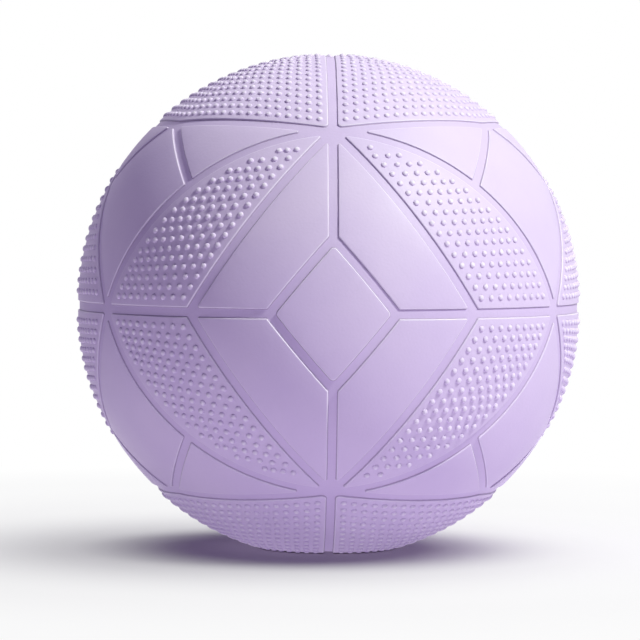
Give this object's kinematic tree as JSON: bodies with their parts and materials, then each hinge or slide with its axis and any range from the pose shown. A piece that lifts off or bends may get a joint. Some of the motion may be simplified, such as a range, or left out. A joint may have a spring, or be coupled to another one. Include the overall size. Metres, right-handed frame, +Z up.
{
  "type": "pilates ball",
  "caption": "Small soft hollow exercise ball with raised smooth and studded grip panels between shallow channels, a flat patch it rests on and a valve plug that pulls out.",
  "frame": {"origin": "centre of the flat patch that the ball rests on, on the ground", "axes": "+Z up through the pole where three cap panels meet, -Y towards the diamond panel that faces the viewer"},
  "size_m": [0.2308, 0.2303, 0.2269],
  "materials": {
    "diamond_panel": "satin",
    "flank_panel": "satin",
    "crescent_panel": "satin, studded",
    "shoulder_panel": "satin",
    "kite_panel": "satin",
    "cap_panel": "satin, studded",
    "carcass": "satin",
    "valve_bush": "satin",
    "valve_plug": "smooth"
  },
  "bodies": {
    "ball": {"diamond_front": "diamond_panel", "diamond_right": "diamond_panel", "diamond_left": "diamond_panel", "kite_front_right_upper": "kite_panel", "kite_back_upper": "kite_panel", "kite_front_left_upper": "kite_panel", "cap_front_right_upper": "cap_panel", "cap_back_upper": "cap_panel", "cap_front_left_upper": "cap_panel", "flank_front_upper_r": "flank_panel", "flank_right_upper_r": "flank_panel", "flank_left_upper_r": "flank_panel", "flank_front_upper_l": "flank_panel", "flank_right_upper_l": "flank_panel", "flank_left_upper_l": "flank_panel", "crescent_front_upper_r": "crescent_panel", "crescent_right_upper_r": "crescent_panel", "crescent_left_upper_r": "crescent_panel", "crescent_front_upper_l": "crescent_panel", "crescent_right_upper_l": "crescent_panel", "crescent_left_upper_l": "crescent_panel", "shoulder_front_upper_r": "shoulder_panel", "shoulder_right_upper_r": "shoulder_panel", "shoulder_left_upper_r": "shoulder_panel", "shoulder_front_upper_l": "shoulder_panel", "shoulder_right_upper_l": "shoulder_panel", "shoulder_left_upper_l": "shoulder_panel", "kite_front_right_lower": "kite_panel", "kite_back_lower": "kite_panel", "kite_front_left_lower": "kite_panel", "cap_front_right_lower": "cap_panel", "cap_back_lower": "cap_panel", "cap_front_left_lower": "cap_panel", "flank_front_lower_r": "flank_panel", "flank_right_lower_r": "flank_panel", "flank_left_lower_r": "flank_panel", "flank_front_lower_l": "flank_panel", "flank_right_lower_l": "flank_panel", "flank_left_lower_l": "flank_panel", "crescent_front_lower_r": "crescent_panel", "crescent_right_lower_r": "crescent_panel", "crescent_left_lower_r": "crescent_panel", "crescent_front_lower_l": "crescent_panel", "crescent_right_lower_l": "crescent_panel", "crescent_left_lower_l": "crescent_panel", "shoulder_front_lower_r": "shoulder_panel", "shoulder_right_lower_r": "shoulder_panel", "shoulder_left_lower_r": "shoulder_panel", "shoulder_front_lower_l": "shoulder_panel", "shoulder_right_lower_l": "shoulder_panel", "shoulder_left_lower_l": "shoulder_panel", "carcass": "carcass", "valve_bush": "valve_bush"},
    "plug": {"valve_plug": "valve_plug"}
  },
  "joints": [
    {"name": "plug_pull", "type": "slide", "parent": "ball", "child": "plug", "axis": [-0.866, 0.5, 0], "range_m": [0, 0.03]}
  ]
}
